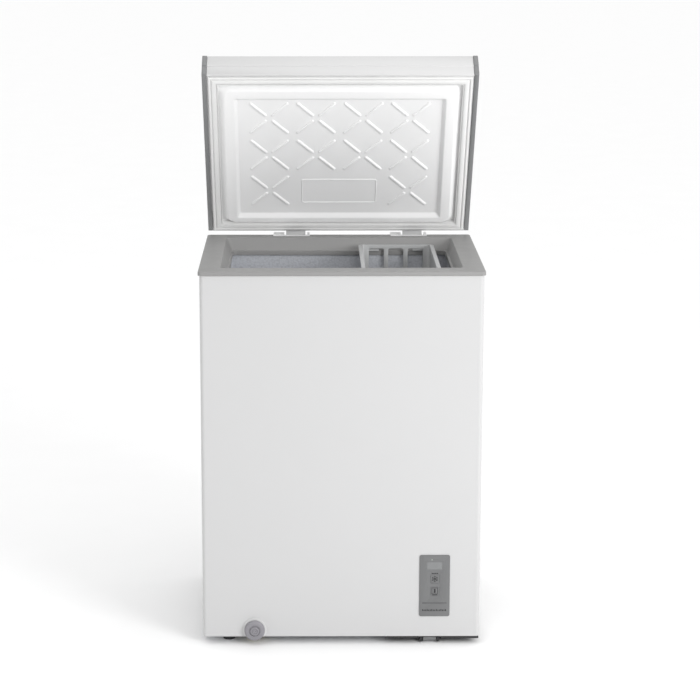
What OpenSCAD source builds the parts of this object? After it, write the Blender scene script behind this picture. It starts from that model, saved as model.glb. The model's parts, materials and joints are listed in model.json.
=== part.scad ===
// Small chest freezer: white steel cabinet, grey plastic collar, foamed lid standing open on
// two sprung hinges, hanging basket, drain, electronic control and a rear compressor bay.
// Millimetres. +X is to the right, +Y to the back, +Z up. Z = 0 is the floor and the origin is
// the centre of the footprint with the lid open. Inside the modules Y is counted from the
// collar's front face, and seat() moves it to the origin.

/* [Cabinet] */
// Width of the steel cabinet
cab_w = 561; // [540:1:600]
// Depth of the steel cabinet, front panel to back panel
cab_d = 435; // [425:1:460]
// Height of the steel front panel
cab_h = 745; // [730:1:800]
// Gap between the floor and the lower edge of the cabinet
floor_gap = 16.5; // [15:0.5:20]
// Radius of the cabinet's upright front corners
cab_r = 8; // [5:1:12]
// Thickness of the steel sheet
sheet = 1; // [0.8:0.1:1.2]

/* [Collar] */
// Width of the collar
collar_w = 567; // [546:1:606]
// Depth of the collar
collar_d = 440; // [430:1:465]
// Height of the collar's outer skirt
skirt_h = 8; // [6:1:12]
// Width of the collar's flat rim at the sides
rim_side = 42.5; // [38:0.5:48]
// Width of the flat rim at the back
rim_rear = 43; // [40:0.5:48]
// Width of the flat rim at the front
rim_front = 48; // [42:0.5:52]
// Height of the collar's sloped inner wall
slope_h = 25; // [20:1:30]
// How far the sloped wall leans inwards
slope_run = 10; // [8:1:12]
// Thickness of the collar's plastic
collar_t = 2.5; // [2:0.5:3]

/* [Lid] */
// Width of the lid
lid_w = 566; // [545:1:605]
// Depth of the lid
lid_d = 434; // [420:1:455]
// Thickness of the lid
lid_t = 62; // [55:1:70]
// Gap between the closed lid's edge and the collar
lid_gap = 3; // [2:0.5:5]
// Angle that the lid stands open at
lid_open = 57; // [0:1:75]
// Distance of the hinge pins behind the lid's rear face
pin_back = 16; // [14:1:20]
// Distance of the hinge pins below the collar's top
pin_drop = 25; // [22:1:30]

/* [Well] */
// Height of the well's floor above the floor
well_floor = 78; // [70:1:100]
// Height of the step over the compressor bay
step_top = 282; // [270:1:300]
// Left side of the step
step_x = 84; // [70:1:95]
// Radius of the well's upright corners
well_r = 3; // [2:0.5:3]

/* [Basket] */
// Width of the basket
basket_w = 160; // [150:1:180]
// Depth of the basket
basket_d = 309; // [300:1:312]
// Height of the basket
basket_h = 205; // [150:1:230]
// Centre of the basket, left to right
basket_x = 121; // [-130:0.5:140]
// Distance of the basket's rim below the collar's top
basket_drop = 11; // [8:1:14]

/* [Control panel] */
// Width of the control panel
panel_w = 61.5; // [50:0.5:70]
// Height of the control panel
panel_h = 129.5; // [110:0.5:140]
// Centre of the control panel, left to right
panel_x = 188.5; // [170:0.5:200]
// Height of the control panel's centre above the floor
panel_z = 124; // [115:1:135]
// How far a button travels
button_travel = 0.8; // [0.5:0.1:1.2]

/* [Drain] */
// Diameter of the drain knob
knob_d = 41; // [34:1:44]
// Place of the drain, left to right
drain_x = -175.5; // [-200:0.5:-120]
// Height of the drain's centre above the floor
drain_z = 31.5; // [29:0.5:36]

/* [Hidden] */
$fn = 48;

// Colours
white = "white";
collar_grey = [0.50, 0.50, 0.50];
panel_grey = [0.42, 0.43, 0.44];
trim_grey = [0.55, 0.56, 0.57];
steel = [0.70, 0.71, 0.72];
black = [0.08, 0.08, 0.08];
copper = [0.72, 0.42, 0.26];
foam = [0.93, 0.87, 0.68];
board_green = [0.10, 0.35, 0.18];

// Cabinet faces
front_y = (collar_d - cab_d) / 2;
back_y = front_y + cab_d;
cab_z0 = floor_gap;
cab_z1 = floor_gap + cab_h;
half_w = cab_w / 2;
collar_top = cab_z1 + skirt_h;
skirt_gap = 0.7;

// Opening at the collar's top, at the foot of its sloped wall, and below its ledge
open_x = collar_w / 2 - rim_side;
open_y = [rim_front, collar_d - rim_rear];
foot_x = open_x - slope_run;
foot_y = [open_y[0] + slope_run, open_y[1] - slope_run];
ledge_w = 4;
ledge_z = collar_top - slope_h;
strip_x = foot_x - ledge_w;
strip_y = [foot_y[0] + ledge_w, foot_y[1] - ledge_w];
strip_z0 = ledge_z - 10;

// Inner faces of the well, just outside the strip
well_gap = 1;
well_x = strip_x + collar_t + well_gap;
well_y = [strip_y[0] - collar_t - well_gap, strip_y[1] + collar_t + well_gap];
well_top = ledge_z - collar_t - 0.5;

// Compressor bay
bay_x = step_x + 6;
bay_top = step_top - 50;
pan_z = floor_gap - 2.5;
pan_t = 1.5;

// Lid, closed
lid_y = [collar_d - 2 - lid_d, collar_d - 2];
lid_z0 = collar_top + lid_gap;
lid_z1 = lid_z0 + lid_t;
pin_y = lid_y[1] + pin_back;
pin_z = collar_top - pin_drop;
trim_w = 10;
trim_top = 6.5;
lid_in_x = lid_w / 2 - trim_w;
plate_z = lid_z0 + 9;
ring_z = lid_z0 - 1;
field_z = lid_z0 + 8;

// Hinges: both are alike, and the left one is nearer the middle than the right one
hinge_x = [-102, 151];
cover_w = 78;
arm_x = [-12, 30];
pin_r = 3;
bracket_z = [pin_z - 96, pin_z - 6];
pin_fit = 0.05;
cheek_x = [-16.5, 32];
cheek_t = 2.5;
cover_y1 = pin_y + 18;
notch_d = 18;

// Drain knob and rearmost point of the open lid, which set the footprint's centre
knob_front = front_y - 14.5;
lid_back = pin_y - pin_back * cos(lid_open) + (lid_z1 - pin_z) * sin(lid_open);
mid_y = (knob_front + lid_back) / 2;

// Rollers and levelling feet
roller_r = 11;
roller_w = 27;
roller_x = 180;
roller_y = [20, collar_d - 24];
axle_r = 3;
foot_x_pos = -229;
foot_ys = [40, collar_d - 40];
stud_r = 4;

// Two values spread evenly about a middle, or a pair moved along by an offset
function around(middle, half) = [middle - half, middle + half];
function shift(offset, pair) = [for (p = pair) offset + p];

// Moves the model from the collar's front face to the footprint's centre
module seat() translate([0, -mid_y, 0]) children();

// Swings the closed lid open about the hinge pins
module open_lid() seat() translate([0, pin_y, pin_z]) rotate([-lid_open, 0, 0])
    translate([0, -pin_y, -pin_z]) children();

// Block between two values along each axis
module slab(x, y, z) translate([x[0], y[0], z[0]])
    cube([x[1] - x[0], y[1] - y[0], z[1] - z[0]]);

// Flat rectangle with rounded corners
module round_rect(x, y, r) {
    w = x[1] - x[0];
    d = y[1] - y[0];
    translate([x[0], y[0]]) {
        translate([r, 0]) square([w - 2 * r, d]);
        translate([0, r]) square([w, d - 2 * r]);
        for (i = [r, w - r], j = [r, d - r]) translate([i, j]) circle(r);
    }
}

// Upright block with rounded vertical corners
module round_slab(x, y, z, r) translate([0, 0, z[0]])
    linear_extrude(z[1] - z[0]) round_rect(x, y, r);

// Plate that stands upright across the front, with rounded corners
module front_plate(x, y, z, r) translate([0, y[1], 0]) rotate([90, 0, 0])
    linear_extrude(y[1] - y[0]) round_rect(x, z, r);

// Block whose top and bottom are different rectangles, with rounded corners
module taper(x0, y0, z0, x1, y1, z1, r) hull() {
    round_slab([-x0, x0], y0, [z0, z0 + 0.01], r, $fn = 24);
    round_slab([-x1, x1], y1, [z1 - 0.01, z1], r, $fn = 24);
}

// Rod along X, along Y, or up
module rod_x(x, y, z, r) translate([x[0], y, z]) rotate([0, 90, 0]) cylinder(r = r, h = x[1] - x[0]);
module rod_y(x, y, z, r) translate([x, y[1], z]) rotate([90, 0, 0]) cylinder(r = r, h = y[1] - y[0]);
module rod_z(x, y, z, r) translate([x, y, z[0]]) cylinder(r = r, h = z[1] - z[0]);

// Tube that runs straight from point to point, with a ball at each bend
module pipe(points, r) for (i = [0 : len(points) - 2]) {
    a = points[i];
    v = points[i + 1] - a;
    flat = norm([v[0], v[1]]);
    translate(a) rotate([0, atan2(flat, v[2]), atan2(v[1], v[0])]) cylinder(r = r, h = norm(v));
    if (i > 0) translate(a) sphere(r);
}

// Rectangular ring of tube that goes round the well or the cabinet
module tube_ring(x, y, z, r, bend) {
    for (j = y) rod_x([-x + bend, x - bend], j, z, r);
    for (i = [-x, x]) rod_y(i, [y[0] + bend, y[1] - bend], z, r);
    corners = [[x - bend, y[1] - bend, 0], [-x + bend, y[1] - bend, 90],
        [-x + bend, y[0] + bend, 180], [x - bend, y[0] + bend, 270]];
    for (c = corners) translate([c[0], c[1], z]) rotate(c[2])
        rotate_extrude(angle = 90) translate([bend, 0]) circle(r, $fn = 24);
}

// Pan-head screw, its head towards -Y, or turned by the caller
module screw(shank, r = 3.5, h = 2) {
    rotate([90, 0, 0]) cylinder(r = r, h = h);
    rotate([-90, 0, 0]) cylinder(r = r / 2, h = shank);
}

// ---- Cabinet ----

vent_y = [130, 300];
vent_z = [60, 190];
window_w = 50;
window_h = 113;
gland_x = 110;
gland_z = 60;
gland_r = 9;

module outer_wrapper() color(white) seat() difference() {
    round_slab([-half_w, half_w], [front_y, back_y + cab_r], [cab_z0, cab_z1], cab_r);
    round_slab([-half_w + sheet, half_w - sheet], [front_y + sheet, back_y + 2 * cab_r],
        [cab_z0 - 1, cab_z1 + 1], cab_r - sheet);
    slab([-half_w - 1, half_w + 1], [back_y, back_y + 30], [cab_z0 - 1, cab_z1 + 1]);
    slab(around(panel_x, window_w / 2), [front_y - 1, front_y + 3],
        around(panel_z, window_h / 2));
    rod_y(drain_x, [front_y - 1, front_y + 3], drain_z, 14.5);
    slab([half_w - 3, half_w + 1], vent_y + [2, -2], vent_z + [2, -2]);
}

grille_x = [bay_x + 4, half_w - 8];
grille_z = [cab_z0 + 4, bay_top - 4];

// Screws on the cabinet's back, as pairs of X and Z: hinge brackets, then the grille
bracket_screws = [for (h = hinge_x, i = [-22, 28], k = [10, 44]) [h + i, bracket_z[0] + k]];
grille_screws = [for (x = grille_x + [5, -5], z = grille_z + [5, -5]) [x, z]];

module screw_holes(places, r = 1.8) for (p = places) rod_y(p[0], [back_y - 2, back_y + 4], p[1], r);

module back_panel() color(white) seat() difference() {
    slab([-half_w + sheet, half_w - sheet], [back_y - sheet, back_y], [cab_z0, cab_z1]);
    slab(grille_x + [8, -8], [back_y - 3, back_y + 1], grille_z + [8, -8]);
    screw_holes(concat(bracket_screws, grille_screws));
    rod_y(gland_x, [back_y - 1, back_y + 1], gland_z, gland_r);
}

// Bottom sheet under the foam, folded up and over the compressor bay
module bottom_panel() color(steel) seat() difference() {
    bottom_sheets();
    front_corners();
}

module bottom_sheets() {
    inside = half_w - sheet;
    y = [front_y + sheet, back_y - sheet];
    difference() {
        slab([-inside, bay_x], y, [cab_z0, cab_z0 + sheet]);
        rod_z(drain_x, 200, [cab_z0 - 1, cab_z0 + 3], 1);
        for (j = foot_ys) rod_z(foot_x_pos, j, [cab_z0 - 1, cab_z0 + 3], 8);
        slab(around(drain_x, 16), [0, 60], [cab_z0 - 1, cab_z0 + 3]);
    }
    slab([bay_x - sheet, bay_x], y, [cab_z0 + sheet, bay_top]);
    difference() {
        slab([bay_x, inside], y, [bay_top - sheet, bay_top]);
        for (p = bay_holes) rod_z(p[0], p[1], [bay_top - 3, bay_top + 3], 6);
    }
}

// Places where the tubes pass through the bay's ceiling: suction, discharge, capillary
bay_holes = [[250, 409], [262, 60], [225, 415]];

// Rings of evaporator tube against the liner, and of condenser tube against the wrapper
evap_r = 4;
evap_zs = [for (i = [0 : 5]) step_top + 50 + i * 70];
cond_r = 2.5;
cond_zs = [for (i = [0 : 5]) bay_top + 50 + i * 75];
evap_x = well_x + 1 + evap_r + 0.3;
evap_y = [well_y[0] - 1 - evap_r - 0.3, well_y[1] + 1 + evap_r + 0.3];
cond_x = half_w - sheet - cond_r - 0.3;
cond_y = [front_y + sheet + cond_r + 0.3, back_y - sheet - cond_r - 0.3];
pocket = 1.5;
evap_riser_y = bay_holes[0][1] - 40;

// Space that the foam leaves for the well, with its step
module well_space(grow, top) difference() {
    round_slab([-well_x - grow, well_x + grow], well_y + [-grow, grow],
        [well_floor - grow, top], well_r + grow);
    slab([step_x - grow, well_x + 20], well_y + [-20, 20], [well_floor - 20, step_top - grow]);
}

// Takes the two upright front corners off a piece that sits inside the rounded wrapper
module front_corners() for (i = [-1, 1]) translate([i * (half_w - sheet), front_y + sheet, 0])
    rotate(45) cube([2, 2, 4 * cab_h] * cab_r / 2, center = true);

module insulation_foam() color(foam) seat() difference() {
    union() {
        slab([-half_w + sheet + 0.2, half_w - sheet - 0.2],
            [front_y + sheet + 0.2, back_y - sheet - 0.2], [cab_z0 + sheet, cab_z1 - 0.5]);
        slab([-collar_w / 2 + 5, collar_w / 2 - 5], [5, collar_d - 5 - notch_d],
            [cab_z1 - 1, collar_top - collar_t]);
    }
    front_corners();
    well_space(sheet, well_top + 1);
    slab([-open_x - 4, open_x + 4], open_y + [-4, 4], [well_top - 0.5, collar_top + 1]);
    slab([bay_x - sheet, half_w], [0, collar_d], [0, bay_top]);
    for (z = evap_zs) round_slab([-evap_x - evap_r - 1, evap_x + evap_r + 1],
        evap_y + [-evap_r - 1, evap_r + 1], shift(z, [-evap_r - 1, evap_r + 1]), well_r + 8);
    for (z = cond_zs) difference() {
        slab([-half_w, half_w], [0, collar_d], shift(z, [-cond_r - pocket, cond_r + pocket]));
        slab([-1, 1] * (cond_x - cond_r - pocket), cond_y + [1, -1] * (cond_r + pocket),
            around(z, 10));
    }
    slab(around(evap_x, evap_r + 1), around(evap_riser_y, evap_r + 1), [evap_zs[0], evap_zs[5]]);
    slab([evap_x - 5, bay_holes[0][0] + 6], around(bay_holes[0][1], 6),
        [bay_top - 1, evap_zs[0] + 6]);
    slab([cond_x - 8, half_w], around(bay_holes[1][1], 5), [bay_top - 1, cond_zs[5] + 4]);
    slab([bay_holes[1][0] - 5, half_w], around(bay_holes[1][1], 5), [bay_top - 1, cond_zs[0]]);
    slab(around(bay_holes[2][0], 5), [evap_y[1], bay_holes[2][1] + 5], [bay_top - 1, evap_zs[1]]);
    rod_z(drain_x, 200, [0, well_floor], 8);
    slab(around(drain_x, 9), [0, 209], [0, drain_z + 9]);
    rod_y(drain_x, [0, front_y + 11], drain_z, 18);
    for (j = foot_ys) rod_z(foot_x_pos, j, [0, 50], 9.5);
    for (h = hinge_x) slab(around(h, cover_w / 2 + 1),
        [collar_d - notch_d - 3, collar_d], [cab_z1 - 12, collar_top]);
    rod_y(-150, [well_y[1], well_y[1] + 12], 640, 6);
}

module inner_liner() color(steel) seat() difference() {
    well_space(sheet, well_top);
    well_space(0, well_top + 1);
    rod_z(drain_x, 200, [well_floor - 3, well_floor + 1], 9);
}

module top_collar() color(collar_grey) seat() {
    difference() {
        round_slab([-collar_w / 2, collar_w / 2], [0, collar_d],
            [cab_z1 + skirt_gap, collar_top], 7);
        round_slab([-collar_w / 2 + 3, collar_w / 2 - 3], [3, collar_d - 3],
            [cab_z1, collar_top - collar_t], 5);
        taper(foot_x, foot_y, ledge_z, open_x + 0.01, open_y, collar_top + 0.01, 10);
        for (h = hinge_x) slab(around(h, cover_w / 2 + 0.4),
            [collar_d - notch_d, collar_d + 1], [cab_z1, collar_top + 1]);
    }
    difference() {
        taper(foot_x + collar_t, foot_y + [-1, 1] * collar_t, ledge_z - collar_t,
            open_x + collar_t, open_y + [-1, 1] * collar_t, collar_top - 1, 12);
        taper(foot_x, foot_y, ledge_z, open_x + 0.01, open_y, collar_top + 0.01, 10);
        slab([-strip_x, strip_x], strip_y, [ledge_z - 10, ledge_z + 1]);
    }
    difference() {
        slab([-1, 1] * (strip_x + collar_t), strip_y + [-1, 1] * collar_t,
            [strip_z0, ledge_z - collar_t]);
        slab([-strip_x, strip_x], strip_y, [strip_z0 - 1, ledge_z + 1]);
    }
}

// Steel pan that carries the compressor and the rollers
module base_pan() color(black) seat() {
    x = [bay_x + 1, half_w - sheet - 0.5];
    difference() {
        slab(x, [front_y + sheet + 0.5, back_y - sheet - 0.5], [pan_z, pan_z + pan_t]);
        for (y = roller_y) slab(around(roller_x, 22), around(y, 15), [pan_z - 1, pan_z + 3]);
        for (p = mount_points) rod_z(p[0], p[1], [pan_z - 1, pan_z + 3], 3.2);
    }
    for (s = [[x[0], roller_x - 23], [roller_x + 23, x[1]]])
        slab(s, [front_y + sheet + 0.5, front_y + sheet + 2], [pan_z - 3, pan_z]);
    slab([x[0], x[0] + 1.5], [front_y + 4, back_y - 4], [pan_z + pan_t, pan_z + 12]);
}

// ---- Control panel ----

panel_front = front_y - 1.5;
display_x = [173, 203.5];
display_z = shift(panel_z, [34, 50]);
led_at = [183, panel_z + 55];
button_x = 189;
button_zs = [panel_z + 14.5, panel_z - 11.5];
button_size = 18;

module button_outline(z, grow) front_plate(around(button_x, button_size / 2 + grow),
    [panel_front - 2, front_y + 4], around(z, button_size / 2 + grow), 3);

module control_bezel() color(panel_grey) seat() difference() {
    union() {
        front_plate(around(panel_x, panel_w / 2), [panel_front, front_y],
            around(panel_z, panel_h / 2), 4);
        difference() {
            front_plate(around(panel_x, window_w / 2 - 0.5), [front_y - 0.5, front_y + 14],
                around(panel_z, window_h / 2 - 0.5), 3);
            front_plate(around(panel_x, window_w / 2 - 2.5), [front_y, front_y + 15],
                around(panel_z, window_h / 2 - 2.5), 2);
        }
    }
    slab(display_x, [panel_front - 1, front_y + 1], display_z);
    rod_y(led_at[0], [panel_front - 1, front_y + 15], led_at[1], 1.3);
    for (z = button_zs) button_outline(z, 0.3);
}

module display_window() color([0.55, 0.57, 0.58]) seat()
    slab(display_x + [0.1, -0.1], [panel_front + 0.2, front_y - 0.1], display_z + [0.1, -0.1]);

module status_led() color([0.6, 0.75, 0.6]) seat()
    rod_y(led_at[0], [panel_front + 0.1, front_y + 4], led_at[1], 1.2);

module display_board() color(board_green) seat() {
    slab(around(panel_x, 21), [front_y + 8, front_y + 9.6], around(panel_z, 50));
    slab(display_x + [1, -1], [front_y + 3, front_y + 8], display_z + [1, -1]);
    for (z = button_zs) slab(around(button_x, 3), [front_y + 4, front_y + 8], around(z, 3));
}

// A button: cap in the panel, with a collar behind it and a short stem to the switch
module button(z) {
    front_plate(around(button_x, button_size / 2), [panel_front, front_y + 1],
        around(z, button_size / 2), 2.8);
    slab(around(button_x, 2), [front_y + 1, front_y + 4 - button_travel - 0.2], around(z, 2));
}

module button_upper() color(panel_grey) seat() button(button_zs[0]);
module button_lower() color(panel_grey) seat() button(button_zs[1]);

box_x = [110, 205];
box_y = [40, 72];
box_z = [120, 210];

module control_board_box() color([0.85, 0.85, 0.83]) seat() difference() {
    round_slab(box_x, box_y, box_z, 3);
    round_slab(box_x + [2, -2], box_y + [2, -2], [box_z[0] + 2, box_z[1] - 2], 2);
    slab([150, 165], [box_y[1] - 3, box_y[1] + 1], [box_z[0] + 8, box_z[0] + 18]);
}

module main_control_board() color(board_green) seat() {
    slab(box_x + [5, -5], shift(box_y[0], [8, 9.6]), box_z + [5, -5]);
    slab([116, 138], shift(box_y[0], [9.6, 24]), shift(box_z[0], [10, 32]));
    slab([150, 164], shift(box_y[0], [9.6, 22]), shift(box_z[0], [40, 58]));
    for (i = [0 : 2]) rod_y(176 + i * 9, shift(box_y[0], [9.6, 20]), box_z[0] + 24, 3.5);
}

// ---- Drain ----

module drain_escutcheon() color(white) seat() difference() {
    union() {
        rod_y(drain_x, [front_y - 2, front_y], drain_z, 24.5);
        rod_y(drain_x, [front_y - 0.5, front_y + 8], drain_z, 14);
    }
    rod_y(drain_x, [front_y - 3, front_y + 9], drain_z, 10.1);
    slab(around(drain_x, 30), [front_y - 5, front_y + 10], [0, cab_z0 + 0.3]);
}

module drain_pipe() color([0.9, 0.9, 0.88]) seat() difference() {
    union() {
        rod_z(drain_x, 200, [drain_z, well_floor - 1.2], 7);
        rod_y(drain_x, [front_y + 12, 200], drain_z, 7);
        translate([drain_x, 200, drain_z]) sphere(7);
    }
    rod_z(drain_x, 200, [drain_z, well_floor], 5);
    rod_y(drain_x, [front_y, 200], drain_z, 5);
    translate([drain_x, 200, drain_z]) sphere(5);
}

module drain_cap() color([0.55, 0.54, 0.57]) seat() {
    translate([drain_x, front_y - 2.3, drain_z]) rotate([90, 0, 0]) rotate_extrude($fn = 96)
        polygon([[0, 0], [19.5, 0], [knob_d / 2, 2], [knob_d / 2, 6.5], [18, 9], [11, 9.5],
            [10, 8], [8.6, 8], [8.2, 12.2], [0, 12.2]]);
    rod_y(drain_x, [front_y - 2.4, front_y + 10], drain_z, 10);
}

module drain_plug() color(collar_grey) seat() {
    rod_z(drain_x, 200, shift(well_floor, [0.2, 3]), 13);
    rod_z(drain_x, 200, shift(well_floor, [-0.9, 0.3]), 8.6);
    translate([drain_x - 2, 200 - 6, well_floor + 3]) cube([4, 12, 9]);
}

// ---- Refrigeration ----

comp_at = [178, 300];
comp_r = 72;
comp_z = [36, 205];
mount_points = [for (i = [-1, 1], j = [-1, 1]) [comp_at[0] + i * 70, comp_at[1] + j * 62]];

// Profile of the compressor's body: straight sides with a shallow dome at each end
module comp_body(grow) {
    r = comp_r + grow;
    dome = 95 + grow;
    intersection() {
        rod_z(comp_at[0], comp_at[1], comp_z + [-grow, grow], r);
        translate([comp_at[0], comp_at[1], comp_z[1] + grow - dome]) sphere(dome, $fn = 96);
        translate([comp_at[0], comp_at[1], comp_z[0] - grow + dome]) sphere(dome, $fn = 96);
    }
}

module compressor_shell() color(black) seat() {
    difference() {
        union() {
            comp_body(0);
            rod_z(comp_at[0], comp_at[1], [118, 124], comp_r + 3);
        }
        comp_body(-4);
    }
    difference() {
        round_slab(around(comp_at[0], 82), around(comp_at[1], 74), [30, 33], 12);
        rod_z(comp_at[0], comp_at[1], [29, 34], 34);
        for (p = mount_points) rod_z(p[0], p[1], [29, 34], 5.2);
    }
    for (a = [0 : 90 : 270]) translate([comp_at[0], comp_at[1], 32]) rotate(a)
        slab([36, 46], [-2, 2], [0, 22]);
    rod_z(comp_at[0] + 30, comp_at[1] + 20, [190, 206], 5);
    rod_z(comp_at[0] - 34, comp_at[1] - 20, [188, 206], 4);
}

module compressor_pump() color(steel) seat() {
    rod_z(comp_at[0], comp_at[1], [62, 112], 50);
    rod_z(comp_at[0], comp_at[1], [112, 150], 34);
    slab(shift(comp_at[0], [10, 54]), around(comp_at[1], 18), [126, 160]);
}

module compressor_grommets() color(black) seat() for (p = mount_points) difference() {
    union() {
        rod_z(p[0], p[1], [pan_z + pan_t, 30], 9);
        rod_z(p[0], p[1], [29.9, 33], 5);
        rod_z(p[0], p[1], [33, 38], 9);
    }
    rod_z(p[0], p[1], [pan_z, 39], 3.2);
}

module compressor_bolts() color(steel) seat() for (p = mount_points) {
    rod_z(p[0], p[1], [pan_z - 0.5, 41], 2.9);
    translate([p[0], p[1], 38]) cylinder(r = 5.5, h = 4, $fn = 6);
}

module start_relay_cover() color(black) seat() difference() {
    slab(around(comp_at[0], 24), shift(comp_at[1] - comp_r, [-32, -1]), [80, 140]);
    slab(around(comp_at[0], 22), shift(comp_at[1] - comp_r, [-30, 5]), [82, 138]);
}

drier_at = [110, 150];

module filter_drier() color(copper) seat() {
    rod_z(drier_at[0], drier_at[1], [110, 190], 9);
    rod_z(drier_at[0], drier_at[1], [100, 200], 4);
}

tube_r = 3;

module discharge_tube() color(copper) seat() pipe([
    [comp_at[0] - 34, comp_at[1] - 20, 206.2], [comp_at[0] - 34, comp_at[1] - 20, 218],
    [comp_at[0] - 34, 110, 218], [bay_holes[1][0], 110, 218], [bay_holes[1][0], bay_holes[1][1], 218],
    [bay_holes[1][0], bay_holes[1][1], bay_top + 20]], tube_r);

module suction_tube() color(copper) seat() pipe([
    [comp_at[0] + 30, comp_at[1] + 20, 206.2], [comp_at[0] + 30, comp_at[1] + 20, 219],
    [bay_holes[0][0], comp_at[1] + 20, 219], [bay_holes[0][0], bay_holes[0][1], 219],
    [bay_holes[0][0], bay_holes[0][1], bay_top + 20]], tube_r);

module capillary_tube() color(copper) seat() pipe([
    [drier_at[0], drier_at[1], 200.2], [drier_at[0], drier_at[1], 226],
    [drier_at[0], bay_holes[2][1], 226], [bay_holes[2][0], bay_holes[2][1], 226],
    [bay_holes[2][0], bay_holes[2][1], evap_zs[0] - 8]], 1.5);

module evaporator_coil() color(copper) seat() {
    for (z = evap_zs) tube_ring(evap_x, evap_y, z, evap_r, well_r + 4.5);
    for (i = [0 : 4]) rod_z(evap_x, evap_riser_y, [evap_zs[i], evap_zs[i + 1]], evap_r);
    pipe([[bay_holes[0][0], bay_holes[0][1], bay_top + 20.2],
        [bay_holes[0][0], bay_holes[0][1], evap_zs[0] - 14]], evap_r);
}

module condenser_coil() color(steel) seat() {
    for (z = cond_zs) tube_ring(cond_x, cond_y, z, cond_r, 8);
    for (i = [0 : 4]) rod_z(cond_x, bay_holes[1][1], [cond_zs[i], cond_zs[i + 1]], cond_r);
    pipe([[bay_holes[1][0], bay_holes[1][1], bay_top + 20.2],
        [bay_holes[1][0], bay_holes[1][1], bay_top + 30], [cond_x, bay_holes[1][1], bay_top + 30],
        [cond_x, bay_holes[1][1], cond_zs[0]]], cond_r);
}

module rear_grille() color(black) seat() difference() {
    slab(grille_x, [back_y, back_y + 1.5], grille_z);
    for (i = [0 : 13], j = [0, 1]) slab([grille_x[0] + 16 + j * 78, grille_x[0] + 84 + j * 78],
        [back_y - 1, back_y + 3], shift(grille_z[0] + 18 + i * 13, [0, 6]));
    rod_y(gland_x, [back_y - 1, back_y + 3], gland_z, gland_r);
    screw_holes(grille_screws);
}

module side_vent() color([0.92, 0.92, 0.92]) seat() {
    difference() {
        slab([half_w, half_w + 1.5], vent_y, vent_z);
        slab([half_w - 1, half_w + 3], vent_y + [6, -6], vent_z + [6, -6]);
    }
    for (i = [0 : 11]) slab([half_w - 1.5, half_w + 1.2], vent_y + [5, -5],
        shift(vent_z[0] + 9 + i * 10, [0, 4]));
    for (y = [vent_y[0] + 5, vent_y[1] - 7]) slab([half_w - 1.5, half_w + 0.1], [y, y + 2],
        vent_z + [4, -4]);
}

module cord_inlet_gland() color(black) seat() difference() {
    union() {
        rod_y(gland_x, [back_y - 6, back_y + 8], gland_z, gland_r - 0.1);
        rod_y(gland_x, [back_y + 1.5, back_y + 4], gland_z, gland_r + 3);
    }
    rod_y(gland_x, [back_y - 7, back_y + 9], gland_z, 3.6);
}

module thermistor() color(black) seat() rod_y(-150, shift(well_y[1], [1.2, 10]), 640, 4);

// ---- Hinges ----

module hinge_bracket(h) {
    difference() {
        slab(shift(h, [-30, 36]), [back_y, back_y + 2], [bracket_z[0], pin_z + 10]);
        screw_holes(bracket_screws);
    }
    for (c = cheek_x) difference() {
        union() {
            slab(shift(h + c, [-cheek_t, 0] + (c > 0 ? [cheek_t, cheek_t] : [0, 0])),
                [back_y + 1.9, pin_y], [pin_z - 40, pin_z + 8]);
            rod_x(shift(h + c, [-cheek_t, 0] + (c > 0 ? [cheek_t, cheek_t] : [0, 0])), pin_y, pin_z, 8);
        }
        rod_x(around(h + c, 5), pin_y, pin_z, pin_r);
    }
    slab(shift(h, cheek_x + [-cheek_t, cheek_t]), [back_y + 1.9, pin_y - 2],
        [pin_z - 42, pin_z - 39.5]);
}

module hinge_bracket_left() color(steel) seat() hinge_bracket(hinge_x[0]);
module hinge_bracket_right() color(steel) seat() hinge_bracket(hinge_x[1]);

module hinge_pins() color(steel) seat() for (h = hinge_x) {
    rod_x(shift(h, cheek_x + [-cheek_t, cheek_t]), pin_y, pin_z, pin_r);
    for (c = [cheek_x[0] - cheek_t - 1.5, cheek_x[1] + cheek_t]) rod_x(shift(h + c, [0, 1.5]), pin_y,
        pin_z, 4.5);
}

// Lift springs, upright behind each bracket's lower part
spring_turns = 9;
wire_r = 1.4;

module hinge_springs() color(steel) seat() for (h = hinge_x, i = [0 : spring_turns - 1])
    translate([h + 9, pin_y - 2, bracket_z[0] + 4 + i * wire_r * 1.9])
        rotate_extrude() translate([7, 0]) circle(wire_r, $fn = 16);

// White plastic cover: a box on the cabinet's back that fills the collar's notch
module hinge_cover(h) difference() {
    union() {
        slab(around(h, cover_w / 2), [back_y + 0.1, cover_y1], [bracket_z[0] - 8, cab_z1]);
        slab(around(h, cover_w / 2), [collar_d - notch_d + 0.3, cover_y1],
            [cab_z1, collar_top - 0.2]);
    }
    slab(around(h, cover_w / 2 - 2), [back_y, cover_y1 - 2], [bracket_z[0] - 9, cab_z1 - 2]);
    slab(shift(h, arm_x + [-4, 4]), [lid_y[1] + 0.5, cover_y1 + 1], [pin_z + 3, collar_top + 1]);
    slab(shift(h, arm_x + [-7.5, 7.5]), [lid_y[1] + 0.5, cover_y1 - 2], [pin_z - 10, pin_z + 12]);
}

module hinge_cover_left() color(white) seat() hinge_cover(hinge_x[0]);
module hinge_cover_right() color(white) seat() hinge_cover(hinge_x[1]);

// Arm, drawn closed: a knuckle on the pin and a plate on the lid's rear face
arm_plate_z = shift(lid_z0, [3.5, 52]);
lid_screws_at = [for (h = hinge_x, i = [-12, 12], k = [12, 36]) [h + 9 + i, arm_plate_z[0] + k]];

module lid_screw_holes(r) for (p = lid_screws_at) rod_y(p[0], shift(lid_y[1], [-2, 4]), p[1], r);

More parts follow.
